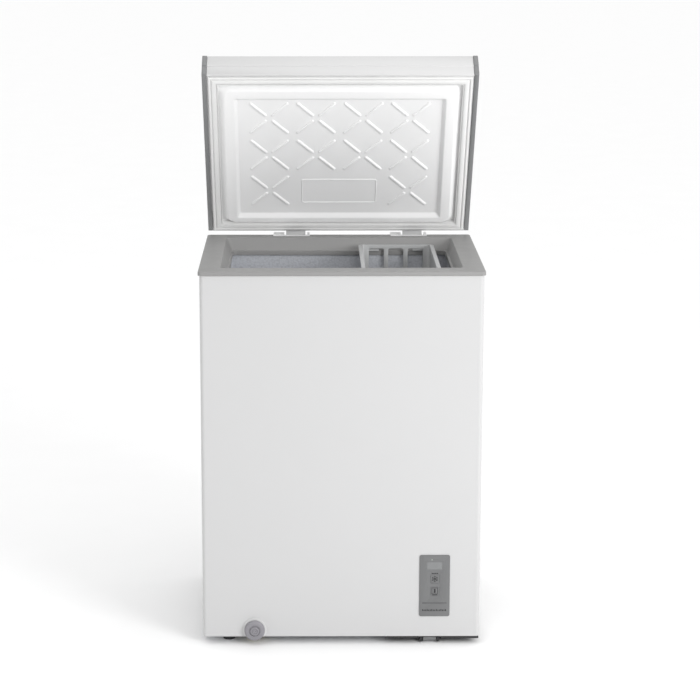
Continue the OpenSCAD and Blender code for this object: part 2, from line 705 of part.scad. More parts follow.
module hinge_arm(h) difference() {
    translate([h + arm_x[1], 0, 0]) rotate([0, -90, 0]) linear_extrude(arm_x[1] - arm_x[0])
        polygon([[arm_plate_z[1], lid_y[1]], [arm_plate_z[1], lid_y[1] + 2.5],
            [arm_plate_z[0], lid_y[1] + 2.5], [pin_z + 4.5, pin_y + 4.5],
            [pin_z + 4.5, pin_y - 0.5], [pin_z + 1, pin_y - 4.9], [pin_z + 4.5, pin_y - 6],
            [arm_plate_z[0], lid_y[1]]]);
    rod_x(shift(h, arm_x + [-1, 1]), pin_y, pin_z, 6.4);
    lid_screw_holes(2.1);
}

module hinge_knuckle(h) difference() {
    rod_x(shift(h, arm_x), pin_y, pin_z, 6.5);
    rod_x(shift(h, arm_x + [-1, 1]), pin_y, pin_z, pin_r + pin_fit);
}

module hinge_arm_left() color(steel) open_lid() {
    hinge_arm(hinge_x[0]);
    hinge_knuckle(hinge_x[0]);
}

module hinge_arm_right() color(steel) open_lid() {
    hinge_arm(hinge_x[1]);
    hinge_knuckle(hinge_x[1]);
}

module lid_screws() color(steel) open_lid() for (p = lid_screws_at)
    translate([p[0], lid_y[1] + 2.5, p[1]]) rotate(180) screw(3.6);

module cabinet_screws() color(steel) seat() {
    for (p = bracket_screws) translate([p[0], back_y + 2, p[1]]) rotate(180) screw(2.6);
    for (p = grille_screws) translate([p[0], back_y + 1.5, p[1]]) rotate(180) screw(2.1);
}

// ---- Rollers and feet ----

module roller_brackets() color(black) seat() for (y = roller_y) {
    for (x = [roller_x - 19.5, roller_x + 14.5]) difference() {
        slab([x, x + 5], around(y, 11), [2.5, 26]);
        rod_x([x - 1, x + 6], y, roller_r, axle_r);
    }
    slab(around(roller_x, 19.5), around(y, 11), [24, 26]);
    for (x = [[roller_x - 32, roller_x - 19.5], [roller_x + 19.5, roller_x + 32]])
        slab(x, around(y, 11), shift(pan_z + pan_t, [0, 2]));
}

module roller_axles() color(steel) seat() for (y = roller_y)
    rod_x(around(roller_x, 19.5), y, roller_r, axle_r);

module roller(y) difference() {
    translate([roller_x - roller_w / 2, y, roller_r]) rotate([0, 90, 0]) union() {
        cylinder(r1 = roller_r - 1, r2 = roller_r, h = 1);
        translate([0, 0, 1]) cylinder(r = roller_r, h = roller_w - 2);
        translate([0, 0, roller_w - 1]) cylinder(r1 = roller_r, r2 = roller_r - 1, h = 1);
    }
    rod_x(around(roller_x, roller_w), y, roller_r, axle_r + 0.08);
}

module roller_front() color(trim_grey) seat() roller(roller_y[0]);
module roller_rear() color(trim_grey) seat() roller(roller_y[1]);

module foot_sockets() color(white) seat() for (y = foot_ys) difference() {
    union() {
        rod_z(foot_x_pos, y, [cab_z0 - 2, cab_z0], 12);
        rod_z(foot_x_pos, y, [cab_z0 - 1, 46], 7.5);
    }
    rod_z(foot_x_pos, y, [cab_z0 - 3, 44], stud_r + 0.08);
}

module foot(y) {
    rod_z(foot_x_pos, y, [0, 6], 12);
    translate([foot_x_pos, y, 6]) cylinder(r1 = 12, r2 = 9, h = 4);
    rod_z(foot_x_pos, y, [9.5, 40], stud_r);
}

module foot_front() color(black) seat() foot(foot_ys[0]);
module foot_rear() color(black) seat() foot(foot_ys[1]);

// ---- Lid, drawn closed ----

// Outline of the lid's front edge, seen from the side: a raised line parts two flat bands
rail_y = lid_y[0];
rail_points = [[rail_y + 20, lid_z1], [rail_y + 7, lid_z1], [rail_y + 3, lid_z1 - 1.5],
    [rail_y + 1.5, lid_z1 - 6], [rail_y, lid_z0 + 30], [rail_y, lid_z0 + 26],
    [rail_y + 2.5, lid_z0 + 24], [rail_y + 3.5, lid_z0 + 2], [rail_y + 5, lid_z0],
    [rail_y + 20, lid_z0]];

module lid_front_rail() color(white) open_lid() difference() {
    translate([lid_in_x, 0, 0]) rotate([0, -90, 0]) linear_extrude(2 * lid_in_x)
        polygon([for (p = rail_points) [p[1], p[0]]]);
    slab([-lid_in_x - 1, lid_in_x + 1], shift(rail_y, [6.5, 21]), [lid_z0 + 2, lid_z1 - 2.5]);
    slab([-lid_in_x - 1, lid_in_x + 1], shift(rail_y, [8, 21]), [lid_z0 - 1, lid_z0 + 3]);
    slab([-lid_in_x - 1, lid_in_x + 1], shift(rail_y, [14, 21]), [lid_z1 - 1.2, lid_z1 + 1]);
}

module lid_top_skin() color(white) open_lid() difference() {
    lid_sheets();
    lid_screw_holes(1.8);
}

module lid_sheets() {
    x = [-1, 1] * (lid_w / 2 - trim_top);
    y = [rail_y + 14.2, lid_y[1]];
    slab(x, y, shift(lid_z1, [-1.1, 0]));
    slab([-lid_in_x + 0.2, lid_in_x - 0.2], shift(lid_y[1], [-1.2, 0]), [lid_z0 + 0.5, lid_z1 - 1]);
    slab([-lid_in_x + 0.2, lid_in_x - 0.2], shift(lid_y[1], [-2.6, 0]), shift(lid_z0, [0, 1.2]));
}

// Side trim: a channel round the lid's side, closed at both ends, with a shaped front end
module lid_side_trim(s) {
    out = lid_w / 2;
    x_in = [out - trim_w + 0.2, out];
    x_top = [out - trim_top + 0.2, out];
    mirror([s < 0 ? 1 : 0, 0, 0]) {
        slab([out - 2, out], [rail_y + 8, lid_y[1]], [lid_z0, lid_z1]);
        slab(x_in, [rail_y + 8, lid_y[1]], shift(lid_z0, [0, 2]));
        slab(x_top, [rail_y + 8, lid_y[1]], shift(lid_z1, [-2, 0]));
        slab(x_in, shift(lid_y[1], [-2, 0]), [lid_z0, lid_z1]);
        translate([out, 0, 0]) rotate([0, -90, 0]) linear_extrude(trim_w - 0.2)
            polygon(concat([for (p = rail_points) [p[1], p[0] - (p[0] < rail_y + 15 ? 1.5 : 7)]]));
    }
}

module lid_side_trim_left() color(trim_grey) open_lid() lid_side_trim(-1);
module lid_side_trim_right() color(trim_grey) open_lid() lid_side_trim(1);

module lid_foam() color(foam) open_lid() {
    slab([-lid_in_x + 0.5, lid_in_x - 0.5], [rail_y + 20.5, lid_y[1] - 1.5],
        [plate_z + 2.2, lid_z1 - 2.6]);
    slab([-lid_in_x + 0.5, lid_in_x - 0.5], [rail_y + 7, rail_y + 20.6],
        [plate_z + 2.2, lid_z1 - 2.8]);
}

// Moulded inner panel: a flat edge, a raised ring, and a sunk field with a lattice of ribs
ring_base_x = 251;
ring_base_y = [lid_y[1] - 399, lid_y[1] - 23.4];
ring_out_x = 238;
ring_out_y = [lid_y[1] - 387.5, lid_y[1] - 26];
ring_in_x = 219;
ring_in_y = [lid_y[1] - 368, lid_y[1] - 38];
field_x = 212;
field_y = [lid_y[1] - 360, lid_y[1] - 46];
rib_pitch = [98, 100];
rib_first = [-147, lid_y[1] - 310];
rib_w = 6.6;
rib_h = 2.6;
// Where a rib starts and ends on its way from a crossing to the next cell's corner, as shares
rib_span = [0.16, 0.765];
// The ribs that the raised rectangle leaves out: the two middle ones of the last row
rib_cells = [for (i = [0 : 3], j = [0 : 2]) if (j < 2 || i == 0 || i == 3) [i, j]];
label_x = 80;
label_y = [lid_y[1] - 142, lid_y[1] - 75];

module rib_arm(a) {
    half = norm(rib_pitch) / 2;
    rotate(a) {
        translate([half * rib_span[0], -rib_w / 2])
            square([half * (rib_span[1] - rib_span[0]), rib_w]);
        for (k = rib_span) translate([half * k, 0]) circle(rib_w / 2, $fn = 24);
    }
}

module lid_inner_panel() color(white) open_lid() {
    lean = atan2(rib_pitch[1], rib_pitch[0]);
    difference() {
        union() {
            slab([-lid_in_x + 0.4, lid_in_x - 0.4], [rail_y + 8.4, lid_y[1] - 1.4],
                shift(plate_z, [0, 2]));
            difference() {
                slab([-lid_in_x + 0.4, lid_in_x - 0.4], [rail_y + 8.4, lid_y[1] - 1.4],
                    [lid_z0 + 1.4, plate_z + 1]);
                slab([-lid_in_x + 1.6, lid_in_x - 1.6], [rail_y + 9.8, lid_y[1] - 2.6],
                    [lid_z0 - 5, plate_z + 2]);
            }
            taper(ring_out_x, ring_out_y, ring_z, ring_base_x, ring_base_y, plate_z + 1, 16);
        }
        taper(ring_in_x, ring_in_y, ring_z - 0.01, field_x, field_y, field_z, 6);
    }
    for (c = rib_cells, a = [lean, 180 - lean, 180 + lean, -lean])
        translate([rib_first[0] + c[0] * rib_pitch[0], rib_first[1] + c[1] * rib_pitch[1],
            field_z - rib_h]) linear_extrude(rib_h + 0.5) rib_arm(a);
    difference() {
        slab([-label_x, label_x], label_y, [field_z - 1, field_z + 0.5]);
        slab([-label_x + 1.5, label_x - 1.5], label_y + [1.5, -1.5], [field_z - 2, field_z + 1]);
    }
}

gasket_w = 19.7;
gasket_x = lid_in_x - 2;
gasket_y = [rail_y + 10.2, lid_y[1] - 3];
gasket_tip = collar_top + 0.3;

// Frame between two distances in from the gasket's outer edge
module gasket_frame(d0, d1, z) difference() {
    slab([-gasket_x + d0, gasket_x - d0], gasket_y + [d0, -d0], z);
    slab([-gasket_x + d1, gasket_x - d1], gasket_y + [d1, -d1], z + [-1, 1]);
}

module lid_gasket() color([0.85, 0.85, 0.84]) open_lid() {
    gasket_frame(0, gasket_w, [gasket_tip + 3, plate_z]);
    gasket_frame(1, 6, [gasket_tip + 0.4, gasket_tip + 3.1]);
    gasket_frame(8.5, 17.5, [gasket_tip, gasket_tip + 3.1]);
}

// ---- Basket ----

basket_top = collar_top - basket_drop;
basket_y = shift(strip_y[0] + 6, [0, basket_d]);
wall = 2.5;

module basket() color([0.60, 0.61, 0.62]) seat() {
    x = around(basket_x, basket_w / 2);
    y = basket_y;
    z0 = basket_top - basket_h;
    slot_w = 32;
    narrow = 6.5;
    slot_top = basket_top - 8;
    difference() {
        union() {
            round_slab(x + [5.5, -5.5], y + [0, 0], [z0, basket_top], 8);
            round_slab(x, y, [basket_top - 3, basket_top], 10);
        }
        round_slab(x + [5.5 + wall, -5.5 - wall], y + [wall, -wall],
            [z0 + wall, basket_top + 1], 6);
        for (i = [-1, 0, 1]) front_plate(around(basket_x + i * (slot_w + 9.5), slot_w / 2),
            [y[0] - 1, y[1] + 1], [z0 + 12, slot_top], 4);
        for (i = [0 : 19], k = [0, 1]) slab([x[0] - 1, x[1] + 1],
            shift(y[0] + 22 + i * 13.7, [0, narrow]), [z0 + 12, z0 + 94] + k * [92, slot_top - z0 - 94]);
        for (i = [-4 : 4], j = [0 : 2]) slab(around(basket_x + i * 15, narrow / 2),
            shift(y[0] + 20 + j * 93, [0, 83]), [z0 - 1, z0 + wall + 1]);
    }
    for (side = [0, 1]) for (i = [-1, 1]) {
        yy = side == 0 ? [foot_y[0] + 1, y[0] + 0.5] : [y[1] - 0.5, foot_y[1] - 1];
        slab(around(basket_x + i * 50, 14), yy, shift(ledge_z, [0.3, 3.3]));
    }
}

outer_wrapper();
back_panel();
bottom_panel();
insulation_foam();
inner_liner();
top_collar();
base_pan();
control_bezel();
display_window();
status_led();
display_board();
control_board_box();
main_control_board();
drain_escutcheon();
drain_pipe();
compressor_shell();
compressor_pump();
compressor_grommets();
compressor_bolts();
start_relay_cover();
filter_drier();
discharge_tube();
suction_tube();
capillary_tube();
evaporator_coil();
condenser_coil();
rear_grille();
side_vent();
cabinet_screws();
cord_inlet_gland();
thermistor();
hinge_bracket_left();
hinge_bracket_right();
hinge_pins();
hinge_springs();
hinge_cover_left();
hinge_cover_right();
roller_brackets();
roller_axles();
foot_sockets();
lid_top_skin();
lid_front_rail();
lid_side_trim_left();
lid_side_trim_right();
lid_foam();
lid_inner_panel();
lid_gasket();
hinge_arm_left();
hinge_arm_right();
lid_screws();
basket();
drain_cap();
drain_plug();
button_upper();
button_lower();
roller_front();
roller_rear();
foot_front();
foot_rear();
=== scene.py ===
import bmesh
import bpy
import json
import math
from mathutils import Matrix, Vector


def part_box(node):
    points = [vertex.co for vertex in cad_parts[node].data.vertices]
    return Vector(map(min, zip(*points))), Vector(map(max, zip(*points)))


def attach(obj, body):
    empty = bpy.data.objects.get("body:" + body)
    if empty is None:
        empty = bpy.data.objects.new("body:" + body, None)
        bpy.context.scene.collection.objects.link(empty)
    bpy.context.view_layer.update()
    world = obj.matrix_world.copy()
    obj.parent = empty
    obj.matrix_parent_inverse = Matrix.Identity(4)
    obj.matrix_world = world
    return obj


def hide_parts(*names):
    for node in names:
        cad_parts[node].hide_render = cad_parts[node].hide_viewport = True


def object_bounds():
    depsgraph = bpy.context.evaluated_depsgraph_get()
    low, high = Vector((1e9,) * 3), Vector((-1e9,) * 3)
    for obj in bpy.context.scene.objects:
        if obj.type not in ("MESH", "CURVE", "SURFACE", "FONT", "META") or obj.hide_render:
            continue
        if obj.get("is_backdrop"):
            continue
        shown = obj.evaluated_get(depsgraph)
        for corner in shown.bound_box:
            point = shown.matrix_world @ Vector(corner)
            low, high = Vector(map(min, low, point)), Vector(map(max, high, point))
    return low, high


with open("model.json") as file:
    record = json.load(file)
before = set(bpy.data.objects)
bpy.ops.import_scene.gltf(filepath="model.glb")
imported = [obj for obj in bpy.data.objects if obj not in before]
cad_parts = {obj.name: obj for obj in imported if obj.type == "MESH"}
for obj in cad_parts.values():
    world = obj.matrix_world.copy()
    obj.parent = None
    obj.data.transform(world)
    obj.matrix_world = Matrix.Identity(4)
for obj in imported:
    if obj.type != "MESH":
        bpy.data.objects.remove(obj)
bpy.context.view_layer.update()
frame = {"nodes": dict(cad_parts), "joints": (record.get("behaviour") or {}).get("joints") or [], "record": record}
nodes = frame["nodes"]
record = frame["record"]
slot_of = {s["node"]: s["material_slot"] for s in record["subparts"]}
joints = {j["name"]: j for j in frame["joints"]}
body_of = {n: b for b, ns in record["behaviour"]["bodies"].items() for n in ns}
MM = 0.001

# ---- Places read from the frame ----

hinge_at = Vector(joints["lid_hinge"]["pos_m"])
lid_open = math.radians(-joints["lid_hinge"]["range_deg"][0])
OPEN_LID = (Matrix.Translation(hinge_at) @ Matrix.Rotation(-lid_open, 4, "X")
            @ Matrix.Translation(-hinge_at))
collar_low, collar_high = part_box("top_collar")
collar_top = collar_high[2]
collar_front = collar_low[1]


# ---- Materials ----

def new_material(name, color, rough, metal=0.0, coat=0.0):
    """A new material, its node tree and its shader with the even values set."""
    mat = bpy.data.materials.new(name)
    mat.use_nodes = True
    tree = mat.node_tree
    shader = tree.nodes["Principled BSDF"]
    shader.inputs["Base Color"].default_value = (*color, 1)
    shader.inputs["Roughness"].default_value = rough
    shader.inputs["Metallic"].default_value = metal
    shader.inputs["Coat Weight"].default_value = coat
    return mat, tree, shader


def noise(tree, scale, detail=3.0):
    """A noise pattern in the object's own coordinates, from 0 to 1."""
    where = tree.nodes.new("ShaderNodeTexCoord")
    texture = tree.nodes.new("ShaderNodeTexNoise")
    texture.inputs["Scale"].default_value = scale
    texture.inputs["Detail"].default_value = detail
    tree.links.new(where.outputs["Object"], texture.inputs["Vector"])
    return texture.outputs["Fac"]


def cells(tree, scale, feature="F1"):
    """A cell pattern in the object's own coordinates."""
    where = tree.nodes.new("ShaderNodeTexCoord")
    texture = tree.nodes.new("ShaderNodeTexVoronoi")
    texture.feature = feature
    texture.inputs["Scale"].default_value = scale
    tree.links.new(where.outputs["Object"], texture.inputs["Vector"])
    return texture


def spread(tree, fac, low, high, target):
    """Maps a 0 to 1 pattern to numbers between two values."""
    ramp = tree.nodes.new("ShaderNodeMapRange")
    ramp.inputs["To Min"].default_value = low
    ramp.inputs["To Max"].default_value = high
    tree.links.new(fac, ramp.inputs["Value"])
    tree.links.new(ramp.outputs["Result"], target)


def tint(tree, fac, one, two, target):
    """Maps the middle of a 0 to 1 pattern to colours between two colours."""
    ramp = tree.nodes.new("ShaderNodeValToRGB")
    ramp.color_ramp.elements[0].position = 0.3
    ramp.color_ramp.elements[0].color = (*one, 1)
    ramp.color_ramp.elements[1].position = 0.7
    ramp.color_ramp.elements[1].color = (*two, 1)
    tree.links.new(fac, ramp.inputs["Fac"])
    tree.links.new(ramp.outputs["Color"], target)


def bump(tree, height, shader, distance, strength=1.0):
    """Lets a pattern stand out from the surface by a distance in metres."""
    node = tree.nodes.new("ShaderNodeBump")
    node.inputs["Strength"].default_value = strength
    node.inputs["Distance"].default_value = distance
    tree.links.new(height, node.inputs["Height"])
    tree.links.new(node.outputs["Normal"], shader.inputs["Normal"])


def shade(color, factor):
    return tuple(min(1.0, c * factor) for c in color)


def moulded(name, color, rough, grain=1600, depth=0.00004, vary=0.05, metal=0.0, coat=0.0):
    """Plastic, rubber or paint: slow tint changes, a fine grain and uneven gloss."""
    mat, tree, shader = new_material(name, color, rough, metal, coat)
    slow = noise(tree, 6, 4)
    tint(tree, slow, shade(color, 1 - vary), shade(color, 1 + vary), shader.inputs["Base Color"])
    spread(tree, noise(tree, 35, 4), rough * 0.85, min(1.0, rough * 1.15),
           shader.inputs["Roughness"])
    bump(tree, noise(tree, grain, 2), shader, depth)
    return mat


def stucco(name, color, rough=0.5, metal=0.12, boss_scale=260, boss_height=0.0007):
    """Embossed aluminium: small round bosses with uneven gloss, and painted light and shade on each boss."""
    mat, tree, shader = new_material(name, color, rough, metal)
    texture = cells(tree, boss_scale, "SMOOTH_F1")
    # Painted light and shade: the tint follows the same cells as the bump, lighter in each cell's middle and
    # darker at its edge
    tint(tree, texture.outputs["Distance"], shade(color, 1.06), shade(color, 0.90),
         shader.inputs["Base Color"])
    spread(tree, noise(tree, 60), 0.42, 0.6, shader.inputs["Roughness"])
    bump(tree, texture.outputs["Distance"], shader, boss_height, 0.7)
    return mat


def spangled(name, color, rough=0.42, metal=0.85, crystal_scale=90):
    """Zinc-coated sheet: flat crystals of slightly different greys."""
    mat, tree, shader = new_material(name, color, rough, metal)
    texture = cells(tree, crystal_scale)
    tint(tree, texture.outputs["Color"], shade(color, 0.88), shade(color, 1.1),
         shader.inputs["Base Color"])
    spread(tree, noise(tree, 40), 0.34, 0.5, shader.inputs["Roughness"])
    bump(tree, noise(tree, 300), shader, 0.00005)
    return mat


MATERIALS = {
    # The enamel's white is set to a mid grey, far below the white plastic's: painted shade that keeps the upright
    # cabinet faces dim
    "white_painted_steel": moulded("white enamel dimmed as painted shade", (0.545, 0.545, 0.547), 0.30, 420, 0.00003, 0.004,
                                   coat=0.25),
    "galvanised_steel": spangled("zinc sheet", (0.62, 0.63, 0.65)),
    "black_painted_steel": moulded("black paint", (0.022, 0.022, 0.024), 0.42, 500, 0.00004, 0.15),
    "foam": moulded("foam", (0.80, 0.70, 0.42), 0.9, 260, 0.0006, 0.12),
    "embossed_aluminium": stucco("embossed aluminium", (0.52, 0.535, 0.57)),
    "grey_plastic": moulded("collar plastic", (0.27, 0.268, 0.265), 0.46, 1500, 0.00005, 0.03),
    "panel_plastic": moulded("panel overlay", (0.150, 0.152, 0.154), 0.40, 1800, 0.00003, 0.03),
    "window_plastic": moulded("display window", (0.19, 0.195, 0.197), 0.18, 900, 0.00001, 0.02,
                              coat=0.4),
    # A darker copy of the white plastic below: its grey is painted shade, for white parts that would otherwise
    # render too bright
    "rail_plastic": moulded("white plastic dimmed as painted shade", (0.60, 0.60, 0.60), 0.36, 1300, 0.00003, 0.006),
    "led": moulded("status lamp", (0.42, 0.48, 0.42), 0.2, 600, 0.00001, 0.02),
    "circuit_board": moulded("circuit board", (0.02, 0.16, 0.06), 0.35, 700, 0.0001, 0.2),
    "white_plastic": moulded("white plastic", (0.86, 0.86, 0.86), 0.36, 1300, 0.00003, 0.006),
    "black_plastic": moulded("black plastic", (0.03, 0.03, 0.032), 0.5, 1200, 0.00006, 0.12),
    "black_rubber": moulded("black rubber", (0.02, 0.02, 0.02), 0.7, 900, 0.0001, 0.15),
    "grey_rubber": moulded("grey rubber", (0.24, 0.24, 0.25), 0.65, 900, 0.00008, 0.08),
    "knob_plastic": moulded("knob plastic", (0.245, 0.238, 0.258), 0.42, 1300, 0.00004, 0.04),
    "copper_tube": moulded("copper", (0.72, 0.36, 0.22), 0.3, 300, 0.00005, 0.15, metal=1.0),
    "steel_hardware": moulded("plated steel", (0.55, 0.55, 0.57), 0.32, 500, 0.00003, 0.08,
                              metal=1.0),
    "cast_iron": moulded("cast iron", (0.12, 0.12, 0.125), 0.6, 350, 0.0004, 0.2, metal=0.6),
    "trim_grey": moulded("trim plastic", (0.21, 0.213, 0.216), 0.36, 1500, 0.00003, 0.03, metal=0.25),
    "gasket_pvc": moulded("gasket", (0.74, 0.74, 0.735), 0.5, 700, 0.00005, 0.03),
    "basket_plastic": moulded("basket plastic", (0.43, 0.435, 0.437), 0.44, 1500, 0.00005, 0.03),
}
INK = moulded("panel ink", (0.012, 0.012, 0.013), 0.5, 900, 0.00001, 0.1)


def paint(obj, mat):
    """Gives the object one material and no other."""
    obj.data.materials.clear()
    obj.data.materials.append(mat)


for name, obj in nodes.items():
    for index in range(len(obj.material_slots)):
        obj.material_slots[index].material = MATERIALS[slot_of[name]]


# ---- Making pieces ----

def piece(name, mesh, body, slot, mat=None):
    """A new smooth piece that rides on a body and wears its slot's material."""
    obj = bpy.data.objects.new(name, mesh)
    bpy.context.scene.collection.objects.link(obj)
    paint(obj, mat or MATERIALS[slot])
    for polygon in mesh.polygons:
        polygon.use_smooth = True
    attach(obj, body)
    return obj


def bake_modifiers(obj):
    """Replaces the object's mesh by the one that its modifiers make."""
    graph = bpy.context.evaluated_depsgraph_get()
    mesh = bpy.data.meshes.new_from_object(obj.evaluated_get(graph))
    obj.modifiers.clear()
    obj.data = mesh


def soften(obj, width, angle=35):
    """Rounds every edge that is sharper than the angle."""
    mod = obj.modifiers.new("edges", "BEVEL")
    mod.width = width
    mod.segments = 2
    mod.limit_method = "ANGLE"
    mod.angle_limit = math.radians(angle)
    mod.harden_normals = True
    bake_modifiers(obj)


WELD = 0.00001


def refined(node, width):
    """A copy of a CAD node with rounded edges, which stands in for it."""
    mesh = nodes[node].data.copy()
    work = bmesh.new()
    work.from_mesh(mesh)
    bmesh.ops.remove_doubles(work, verts=work.verts, dist=WELD)
    bmesh.ops.dissolve_limit(work, angle_limit=math.radians(0.5), verts=work.verts,
                             edges=work.edges)
    work.to_mesh(mesh)
    work.free()
    obj = piece(node + "_finish", mesh, body_of[node], slot_of[node])
    soften(obj, width)
    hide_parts(node)
    return obj


def ring(x, y, z, r, steps=6):
    """Points of a level rectangle with rounded corners, given in millimetres."""
    out = []
    corners = ((x[1] - r, y[1] - r, 0), (x[0] + r, y[1] - r, 90),
               (x[0] + r, y[0] + r, 180), (x[1] - r, y[0] + r, 270))
    for cx, cy, start in corners:
        for i in range(steps + 1):
            a = math.radians(start + 90 * i / steps)
            out.append(Vector((cx + r * math.cos(a), cy + r * math.sin(a), z)))
    return out


def loft(rings, around=False, move=Matrix.Identity(4)):
    """A mesh through rings of equal length: closed on itself, or capped at both ends."""
    mesh = bpy.data.meshes.new("loft")
    work = bmesh.new()
    rows = [[work.verts.new(move @ p) for p in r] for r in rings]
    count = len(rows[0])
    last = len(rows) if around else len(rows) - 1
    for i in range(last):
        a, b = rows[i], rows[(i + 1) % len(rows)]
        for j in range(count):
            k = (j + 1) % count
            work.faces.new((a[j], a[k], b[k], b[j]))
    if not around:
        work.faces.new(list(reversed(rows[0])))
        work.faces.new(rows[-1])
    bmesh.ops.recalc_face_normals(work, faces=work.faces)
    work.to_mesh(mesh)
    work.free()
    return mesh


def merge(meshes):
    """One mesh that holds all the given meshes."""
    whole = bmesh.new()
    for mesh in meshes:
        whole.from_mesh(mesh)
    out = bpy.data.meshes.new("merged")
    whole.to_mesh(out)
    whole.free()
    return out


def autosmooth(obj, angle=32):
    """Marks the edges sharper than the angle, so that shading breaks there."""
    work = bmesh.new()
    work.from_mesh(obj.data)
    for edge in work.edges:
        if len(edge.link_faces) == 2 and edge.calc_face_angle(0) > math.radians(angle):
            edge.smooth = False
    work.to_mesh(obj.data)
    work.free()


def lathe(profile, centre, steps=96):
    """A round piece whose axis points to the front; profile holds (radius, distance to front)."""
    mesh = bpy.data.meshes.new("lathe")
    work = bmesh.new()
    rows = []
    for r, out in profile:
        rows.append([work.verts.new(centre + Vector((
            r * math.cos(2 * math.pi * i / steps), -out,
            r * math.sin(2 * math.pi * i / steps))) * MM) for i in range(steps)])
    for a, b in zip(rows, rows[1:]):
        for j in range(steps):
            k = (j + 1) % steps
            work.faces.new((a[j], a[k], b[k], b[j]))
    work.faces.new(rows[0])
    work.faces.new(list(reversed(rows[-1])))
    bmesh.ops.recalc_face_normals(work, faces=work.faces)
    work.to_mesh(mesh)
    work.free()
    return mesh


def bend(start, corner, end, radius, steps=4):
    """Points of a rounded corner in a two-number profile."""
    a, b, c = Vector(start), Vector(corner), Vector(end)
    one, two = (a - b).normalized() * radius, (c - b).normalized() * radius
    out = []
    for i in range(steps + 1):
        t = i / steps
        out.append(tuple((b + one) * (1 - t) ** 2 + b * 2 * t * (1 - t) + (b + two) * t * t))
    return out


def rounded(points, radii):
    """A closed two-number profile whose corners are rounded by the given radii."""
    out = []
    count = len(points)
    for i, (p, r) in enumerate(zip(points, radii)):
        if r > 0:
            out += bend(points[i - 1], p, points[(i + 1) % count], r)
        else:
            out.append(tuple(p))
    return out


# Frame coordinates in millimetres, Y counted from the collar's front face
SEAT = Matrix.Translation((0, collar_front, 0)) @ Matrix.Scale(MM, 4)
LID = OPEN_LID @ SEAT


def swept_frame(profile, sides, move, steps):
    """A ring of moulding whose profile points are (step inwards, height, corner radius).

    sides turns a step inwards into the half width, the front and the back of the
    rectangle there, so that rims of different widths share one profile.
    """
    rings = []
    for step, z, r in profile:
        x = sides["x"](step)
        rings.append(ring((-x, x), (sides["front"](step), sides["back"](step)), z, r, steps))
    return loft(rings, around=True, move=move)


# ---- Collar ----

collar_w = (collar_high[0] - collar_low[0]) / MM
collar_d = (collar_high[1] - collar_low[1]) / MM
top = collar_top / MM
RIM_SIDE, RIM_REAR, RIM_FRONT = 42.5, 43.0, 48.0
SLOPE_RUN, SLOPE_H, LEDGE, STRIP_H, WALL = 10.0, 25.0, 4.0, 10.0, 2.5
SKIRT_H = 7.3
OUTER_CORNER, INNER_CORNER = 7, 10
UNDER_OUT, UNDER_IN, RIM_END = 6, 98, 100
NOTCH_CLEARANCE = 0.4


def collar_mesh():
    """Steps run from 0 at the outside to 100 at the opening's top edge, then in millimetres."""
    half = collar_w / 2

    def at(step, rim, edge, sign):
        return edge + sign * (rim * min(step, RIM_END) / RIM_END + max(step - RIM_END, 0))

    sides = {"x": lambda s: at(s, RIM_SIDE, half, -1),
             "front": lambda s: at(s, RIM_FRONT, 0, 1),
             "back": lambda s: at(s, RIM_REAR, collar_d, -1)}
    foot = RIM_END + SLOPE_RUN
    strip = foot + LEDGE
    outline = [(0, top - SKIRT_H), (0, top), (RIM_END, top), (foot, top - SLOPE_H),
               (strip, top - SLOPE_H), (strip, top - SLOPE_H - STRIP_H),
               (strip - WALL, top - SLOPE_H - STRIP_H), (strip - WALL, top - SLOPE_H - WALL),
               (foot - WALL, top - SLOPE_H - WALL), (UNDER_IN, top - WALL),
               (UNDER_OUT, top - WALL), (UNDER_OUT, top - SKIRT_H)]
    radii = [0.6, 2.0, 2.2, 1.2, 0.8, 0.8, 0.5, 0.5, 0.5, 0.5, 0.5, 0.5]
    profile = [(step, z, OUTER_CORNER if step < RIM_END / 5 else INNER_CORNER)
               for step, z in rounded(outline, radii)]
    return swept_frame(profile, sides, SEAT, 8)


collar = piece("collar_moulding", collar_mesh(), "cabinet", "grey_plastic")
for side in ("left", "right"):
    low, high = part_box("hinge_cover_" + side)
    notch_x = (low[0] / MM - NOTCH_CLEARANCE, high[0] / MM + NOTCH_CLEARANCE)
    notch_y = ((low[1] - collar_front) / MM - NOTCH_CLEARANCE, collar_d + 20)
    cutter_mesh = loft([ring(notch_x, notch_y, z, 0.5, 2) for z in (top - 20, top + 5)], move=SEAT)
    cutter = bpy.data.objects.new("cutter", cutter_mesh)
    bpy.context.scene.collection.objects.link(cutter)
    cut = collar.modifiers.new("notch", "BOOLEAN")
    cut.object = cutter
    cut.solver = "EXACT"
    bake_modifiers(collar)
    bpy.data.objects.remove(cutter)
autosmooth(collar)
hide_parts("top_collar")


# ---- Lid: inner panel, ribs and gasket, drawn closed and swung open ----

LID_GAP, LID_D, LID_HALF, TRIM = 3.0, 434.0, 283.0, 10.0
PIN_TO_LID = 16.0
lid_z = top + LID_GAP
lid_back = (hinge_at[1] - collar_front) / MM - PIN_TO_LID
lid_front = lid_back - LID_D
inner_half = LID_HALF - TRIM
plate_z = lid_z + 9
ring_z = lid_z - 1
field_z = lid_z + 8
RING_BASE = (251, lid_back - 399, lid_back - 23.4)
RING_OUT = (238, lid_back - 387.5, lid_back - 26)
RING_IN = (219, lid_back - 368, lid_back - 38)
FIELD = (212, lid_back - 360, lid_back - 46)
PANEL = (inner_half - 0.4, lid_front + 8.4, lid_back - 1.4)
LABEL = (80, lid_back - 142, lid_back - 75)


# A level rectangle on the lid is (half width, front, back)
def lerp_rect(a, b, t):
    return tuple(p * (1 - t) + q * t for p, q in zip(a, b))


def rect_ring(rect, z, r, steps=8):
    return ring((-rect[0], rect[0]), (rect[1], rect[2]), z, r, steps)


def inset(rect, d):
    return (rect[0] - d, rect[1] + d, rect[2] - d)


